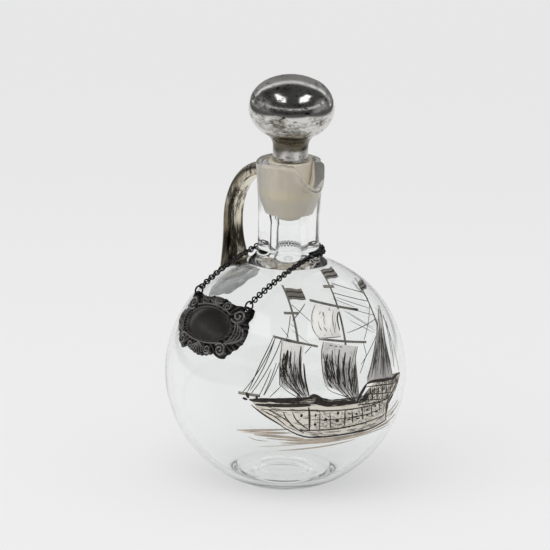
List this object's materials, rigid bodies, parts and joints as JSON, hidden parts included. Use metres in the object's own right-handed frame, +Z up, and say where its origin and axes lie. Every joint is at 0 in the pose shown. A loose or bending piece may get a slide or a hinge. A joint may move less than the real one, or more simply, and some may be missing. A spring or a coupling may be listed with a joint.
{
  "type": "glass ewer",
  "caption": "Globe-shaped clear glass ewer with a pouring lip, silver-clad handle and lift-out ground stopper, a ship in silver overlay and a dark label on a neck chain.",
  "frame": {"origin": "Centre of the foot's underside, on the table", "axes": "+Z up along the vessel's axis, +X towards the pouring lip, -X towards the handle, -Y towards the label"},
  "size_m": [0.1251, 0.125, 0.2154],
  "materials": {
    "clear_glass": "clear, fire-polished",
    "ground_glass": "ground plug, frosted",
    "silver_overlay": "mirror polished, worn and lightly tarnished",
    "ship_silver": "thin engraved foil",
    "dark_silver": "oxidised dark, satin"
  },
  "bodies": {
    "vessel": {"glass_body": "clear_glass", "handle_glass_core": "clear_glass", "handle_silver_overlay": "silver_overlay", "ship_bowsprit": "ship_silver", "ship_fore_course": "ship_silver", "ship_fore_mast": "ship_silver", "ship_hull": "ship_silver", "ship_main_course": "ship_silver", "ship_main_mast": "ship_silver", "ship_main_topsail": "ship_silver", "ship_mizzen_mast": "ship_silver", "ship_mizzen_sail": "ship_silver", "ship_pennants": "ship_silver", "ship_rigging": "ship_silver", "ship_sea_lines": "ship_silver", "ship_yards": "ship_silver"},
    "stopper": {"stopper_glass": "ground_glass", "stopper_silver_overlay": "silver_overlay"},
    "chain": {"neck_chain": "dark_silver", "jump_ring_left": "dark_silver", "jump_ring_right": "dark_silver"},
    "label": {"label_plate": "dark_silver"}
  },
  "joints": [
    {"name": "stopper_lift", "type": "slide", "parent": "vessel", "child": "stopper", "axis": [0, 0, 1], "range_m": [0, 0.06]},
    {"name": "chain_swivel", "type": "hinge", "parent": "vessel", "child": "chain", "pos_m": [0, 0, 0.123], "axis": [0, 0, 1], "range_deg": [-44, 224]},
    {"name": "label_swing", "type": "hinge", "parent": "chain", "child": "label", "pos_m": [0, -0.04381, 0.10376], "axis": [-1, 0, 0], "range_deg": [0, 105]}
  ]
}
